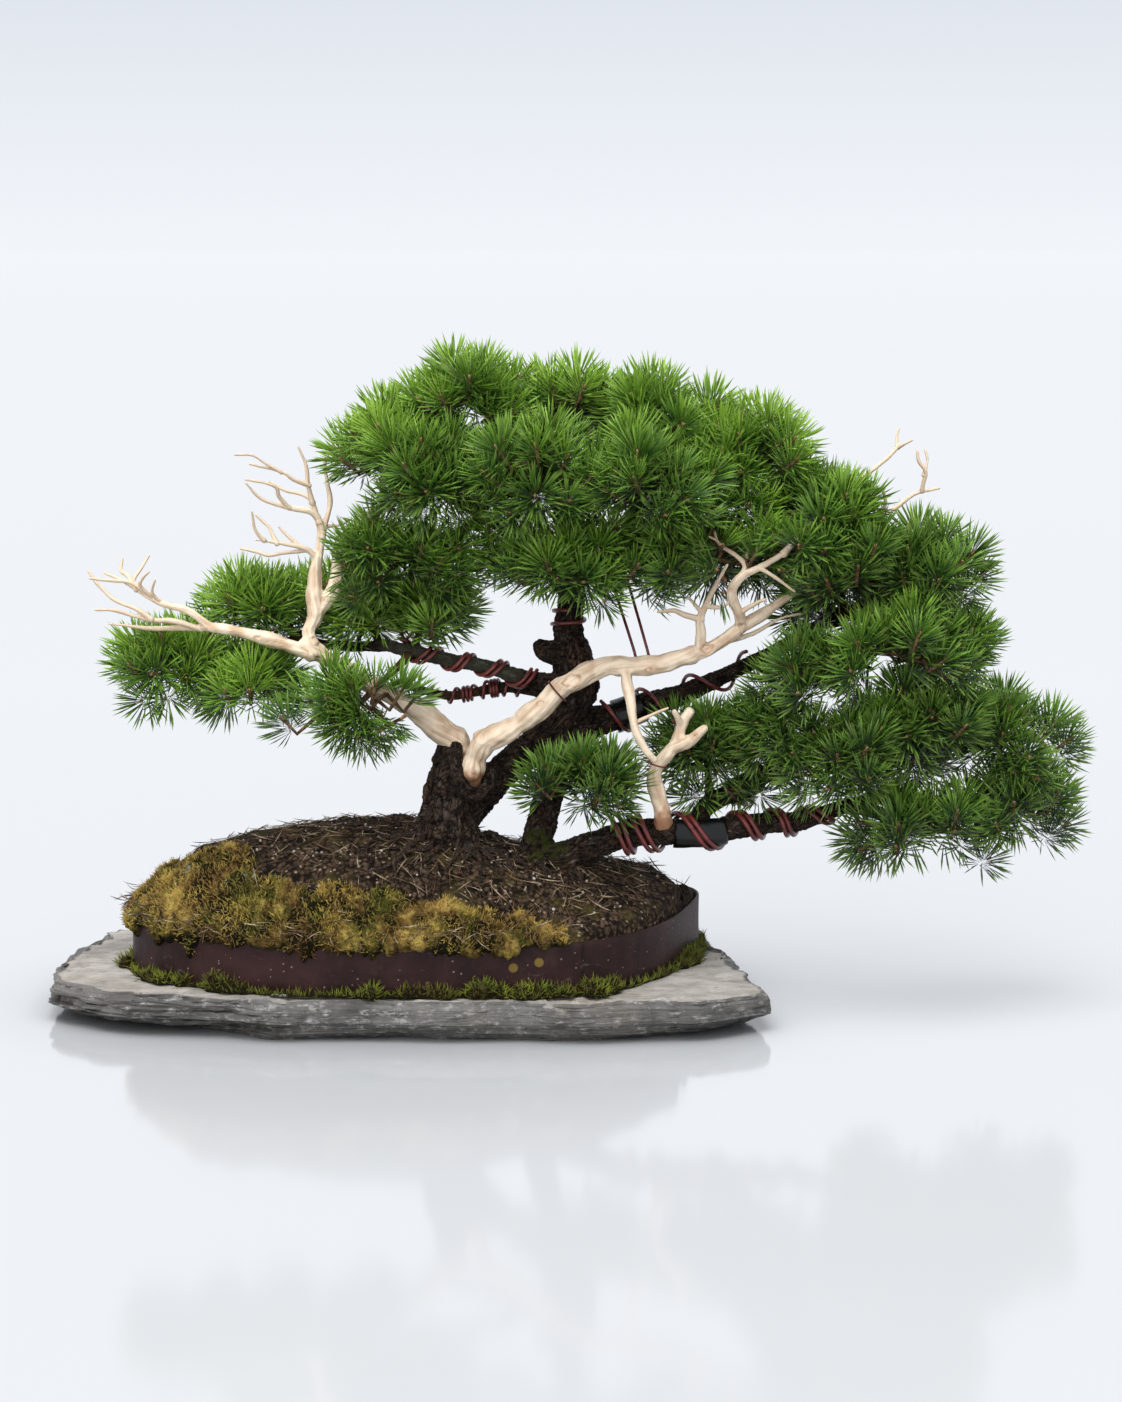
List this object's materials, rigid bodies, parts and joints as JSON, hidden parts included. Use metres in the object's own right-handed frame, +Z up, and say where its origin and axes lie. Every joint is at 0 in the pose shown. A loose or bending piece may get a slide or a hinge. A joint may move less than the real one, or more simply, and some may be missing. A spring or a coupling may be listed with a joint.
{
  "type": "bonsai tree",
  "caption": "Trained mountain pine bonsai with a forked trunk, bare bleached branches and wired limbs, in a mossy strip-edged soil mound on a flat slate slab.",
  "frame": {"origin": "on the surface the slab stands on, under the middle of the slab", "axes": "+Z up, +X to the right of the front view, along the slab and towards the low branch, -Y towards the viewer"},
  "size_m": [0.8449, 0.3178, 0.5432],
  "materials": {
    "slate": "split grey slate with a broken layered edge, matte",
    "edging_strip": "dark maroon brown flexible strip with pale specks, matte",
    "soil": "dark crumbly soil with dry needles and fine roots",
    "moss": "golden and olive cushion moss",
    "bark": "dark flaky bark",
    "deadwood": "bare bleached wood, cream to pale tan, fine grained",
    "training_wire": "maroon coated soft wire, satin",
    "rubber_pad": "black rubber, satin",
    "pine_needles": "green pine needles, slightly glossy"
  },
  "bodies": {
    "root": {"slate_slab": "slate", "edging_strip": "edging_strip", "soil_mound": "soil", "mound_moss": "moss", "foot_moss": "moss", "live_wood": "bark", "deadwood_left": "deadwood", "deadwood_right": "deadwood", "deadwood_stub": "deadwood", "rubber_pad_low": "rubber_pad", "rubber_pad_rising": "rubber_pad", "rubber_pad_rising_end": "rubber_pad", "rubber_pad_upper": "rubber_pad", "wire_low_double": "training_wire", "wire_rising_double": "training_wire", "wire_upper_right": "training_wire", "wire_left_upper": "training_wire", "wire_left_lower": "training_wire", "wire_trunk": "training_wire", "guy_wire_a": "training_wire", "guy_wire_b": "training_wire", "tie_wire_limb": "training_wire", "tie_wire_stub": "training_wire", "spray_canopy_left": "pine_needles", "spray_canopy_crown_left": "pine_needles", "spray_canopy_crown": "pine_needles", "spray_canopy_crown_right": "pine_needles", "spray_canopy_front_left": "pine_needles", "spray_canopy_front": "pine_needles", "spray_canopy_front_right": "pine_needles", "spray_canopy_under": "pine_needles", "spray_canopy_right": "pine_needles", "spray_canopy_right_under": "pine_needles", "spray_canopy_right_end": "pine_needles", "spray_canopy_left_under": "pine_needles", "spray_canopy_back_left": "pine_needles", "spray_canopy_back_right": "pine_needles", "spray_canopy_back_under": "pine_needles", "spray_left_tip": "pine_needles", "spray_left_low": "pine_needles", "spray_left_high": "pine_needles", "spray_left_inner": "pine_needles", "spray_left_middle": "pine_needles", "spray_left_bud": "pine_needles", "spray_right_high_inner": "pine_needles", "spray_right_high_end": "pine_needles", "spray_right_middle": "pine_needles", "spray_right_middle_end": "pine_needles", "spray_right_middle_inner": "pine_needles", "spray_right_back": "pine_needles", "spray_right_low_inner": "pine_needles", "spray_right_low_high": "pine_needles", "spray_right_low_end": "pine_needles", "spray_right_low_tip": "pine_needles", "spray_right_low_under": "pine_needles", "spray_right_low_back": "pine_needles", "spray_centre_left": "pine_needles", "spray_centre_right": "pine_needles"}
  },
  "joints": []
}
